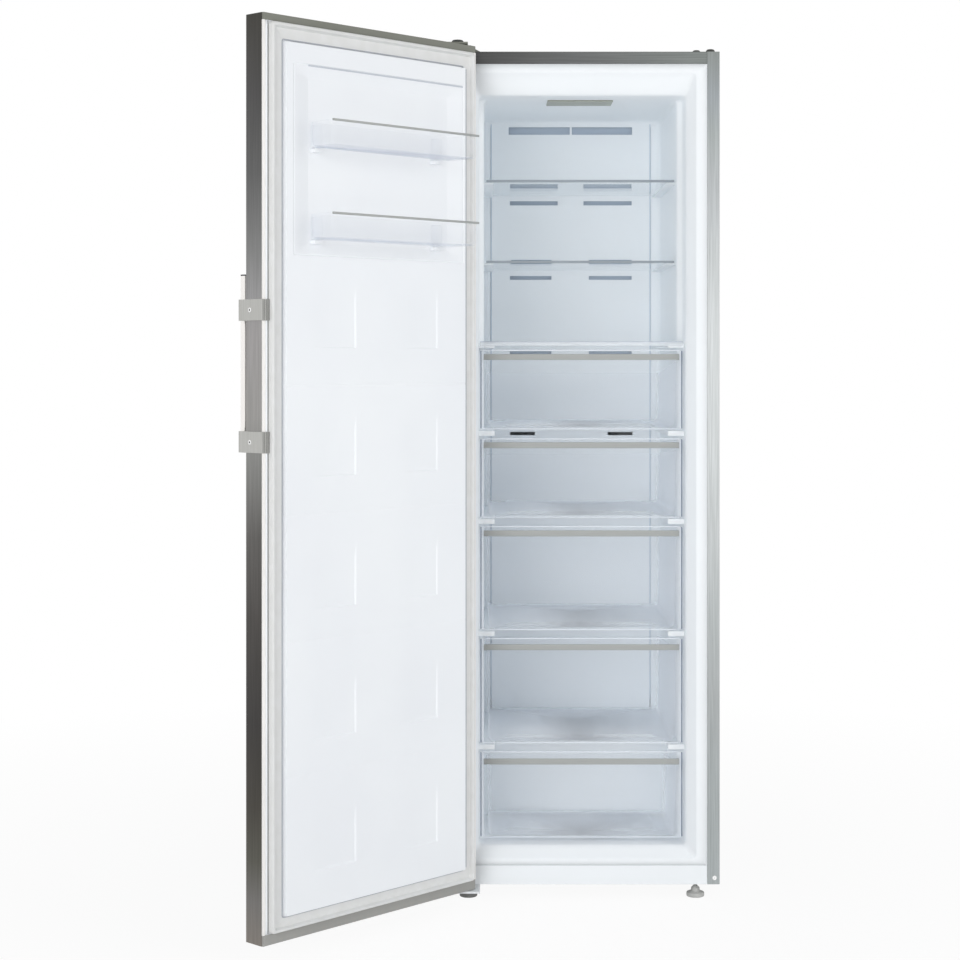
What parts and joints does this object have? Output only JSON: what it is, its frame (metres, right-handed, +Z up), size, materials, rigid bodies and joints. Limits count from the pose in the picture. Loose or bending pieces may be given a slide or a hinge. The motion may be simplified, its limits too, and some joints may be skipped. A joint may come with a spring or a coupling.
{
  "type": "upright freezer",
  "caption": "Tall free-standing upright freezer with a hinged insulated door, bar handle, glass shelves, clear drawers on runners and door bins.",
  "frame": {"origin": "on the floor, under the middle of the footprint with the door open as pictured", "axes": "+X to the right seen from the front, -Y out of the cabinet's front, +Z up"},
  "size_m": [0.9928, 1.084, 1.853],
  "materials": {
    "brushed_steel": "satin",
    "dark_trim": "satin",
    "end_cap": "satin",
    "white_plastic": "satin",
    "white_sheet": "satin",
    "foam": "matte",
    "seal": "matte",
    "clear_plastic": "gloss",
    "shelf_glass": "gloss",
    "silver_trim": "satin",
    "galvanised": "satin",
    "aluminium": "satin",
    "black_enamel": "satin",
    "grey_plastic": "matte",
    "dark_plastic": "matte",
    "control_film": "satin"
  },
  "bodies": {
    "cabinet": {"side_panel_left": "brushed_steel", "side_panel_right": "brushed_steel", "top_panel": "white_sheet", "top_front_trim": "dark_trim", "back_panel": "white_sheet", "plinth_panel": "white_plastic", "base_pan": "galvanised", "inner_liner": "white_plastic", "cabinet_foam": "foam", "air_duct_panel": "white_plastic", "ceiling_panel": "control_film", "evaporator": "aluminium", "fan_motor": "black_enamel", "compressor": "black_enamel", "drain_tray": "dark_plastic", "condenser": "black_enamel", "control_box": "white_plastic", "compressor_cover": "galvanised", "mains_gland": "dark_plastic", "hinge_bracket_top": "galvanised", "hinge_cover": "dark_plastic", "hinge_bracket_bottom": "galvanised", "hole_plug_inner": "dark_plastic", "hole_plug_outer": "dark_plastic", "roller_fork_left": "galvanised", "roller_fork_right": "galvanised"},
    "door": {"door_skin": "brushed_steel", "door_cap_top": "end_cap", "door_cap_bottom": "end_cap", "door_liner": "white_plastic", "door_foam": "foam", "door_gasket": "seal", "handle_bar": "brushed_steel", "handle_bracket_upper": "aluminium", "handle_bracket_lower": "aluminium"},
    "door_bin_1": {"door_bin_1": "clear_plastic", "bin_rail_1": "silver_trim"},
    "door_bin_2": {"door_bin_2": "clear_plastic", "bin_rail_2": "silver_trim"},
    "shelf_1": {"shelf_glass_1": "shelf_glass", "shelf_trim_1": "silver_trim"},
    "shelf_2": {"shelf_glass_2": "shelf_glass", "shelf_trim_2": "silver_trim"},
    "drawer_cover": {"cover_glass": "shelf_glass", "cover_trim": "clear_plastic"},
    "drawer_1": {"drawer_1": "clear_plastic", "drawer_bar_1": "silver_trim"},
    "drawer_2": {"drawer_2": "clear_plastic", "drawer_bar_2": "silver_trim"},
    "drawer_3": {"drawer_3": "clear_plastic", "drawer_bar_3": "silver_trim"},
    "drawer_4": {"drawer_4": "clear_plastic", "drawer_bar_4": "silver_trim"},
    "drawer_5": {"drawer_5": "clear_plastic", "drawer_bar_5": "silver_trim"},
    "fan": {"evaporator_fan": "white_plastic"},
    "foot_left": {"foot_left": "grey_plastic"},
    "roller_left": {"roller_left": "dark_plastic"},
    "foot_right": {"foot_right": "grey_plastic"},
    "roller_right": {"roller_right": "dark_plastic"}
  },
  "joints": [
    {"name": "door_hinge", "type": "hinge", "parent": "cabinet", "child": "door", "pos_m": [-0.07105, -0.10691, 0.936], "axis": [0, 0, -1], "range_deg": [-133.7, 1.3]},
    {"name": "drawer_1_slide", "type": "slide", "parent": "cabinet", "child": "drawer_1", "axis": [0, -1, 0], "range_m": [0, 0.36]},
    {"name": "drawer_2_slide", "type": "slide", "parent": "cabinet", "child": "drawer_2", "axis": [0, -1, 0], "range_m": [0, 0.36]},
    {"name": "drawer_3_slide", "type": "slide", "parent": "cabinet", "child": "drawer_3", "axis": [0, -1, 0], "range_m": [0, 0.36]},
    {"name": "drawer_4_slide", "type": "slide", "parent": "cabinet", "child": "drawer_4", "axis": [0, -1, 0], "range_m": [0, 0.36]},
    {"name": "drawer_5_slide", "type": "slide", "parent": "cabinet", "child": "drawer_5", "axis": [0, -1, 0], "range_m": [0, 0.2]},
    {"name": "shelf_1_slide", "type": "slide", "parent": "cabinet", "child": "shelf_1", "axis": [0, -1, 0], "range_m": [0, 0.32]},
    {"name": "shelf_2_slide", "type": "slide", "parent": "cabinet", "child": "shelf_2", "axis": [0, -1, 0], "range_m": [0, 0.32]},
    {"name": "drawer_cover_slide", "type": "slide", "parent": "cabinet", "child": "drawer_cover", "axis": [0, -1, 0], "range_m": [0, 0.32]},
    {"name": "door_bin_1_lift", "type": "slide", "parent": "door", "child": "door_bin_1", "axis": [0, 0, 1], "range_m": [0, 0.03]},
    {"name": "door_bin_2_lift", "type": "slide", "parent": "door", "child": "door_bin_2", "axis": [0, 0, 1], "range_m": [0, 0.03]},
    {"name": "fan_spin", "type": "hinge", "parent": "cabinet", "child": "fan", "pos_m": [0.19485, 0.434, 1.08], "axis": [0, -1, 0], "continuous": true},
    {"name": "foot_left_turn", "type": "hinge", "parent": "cabinet", "child": "foot_left", "pos_m": [-0.04815, -0.041, 0.01], "axis": [0, 0, 1], "continuous": true},
    {"name": "foot_right_turn", "type": "hinge", "parent": "cabinet", "child": "foot_right", "pos_m": [0.44585, -0.041, 0.01], "axis": [0, 0, 1], "continuous": true},
    {"name": "roller_left_spin", "type": "hinge", "parent": "cabinet", "child": "roller_left", "pos_m": [-0.05115, 0.495, 0.015], "axis": [1, 0, 0], "continuous": true},
    {"name": "roller_right_spin", "type": "hinge", "parent": "cabinet", "child": "roller_right", "pos_m": [0.44885, 0.495, 0.015], "axis": [1, 0, 0], "continuous": true}
  ]
}
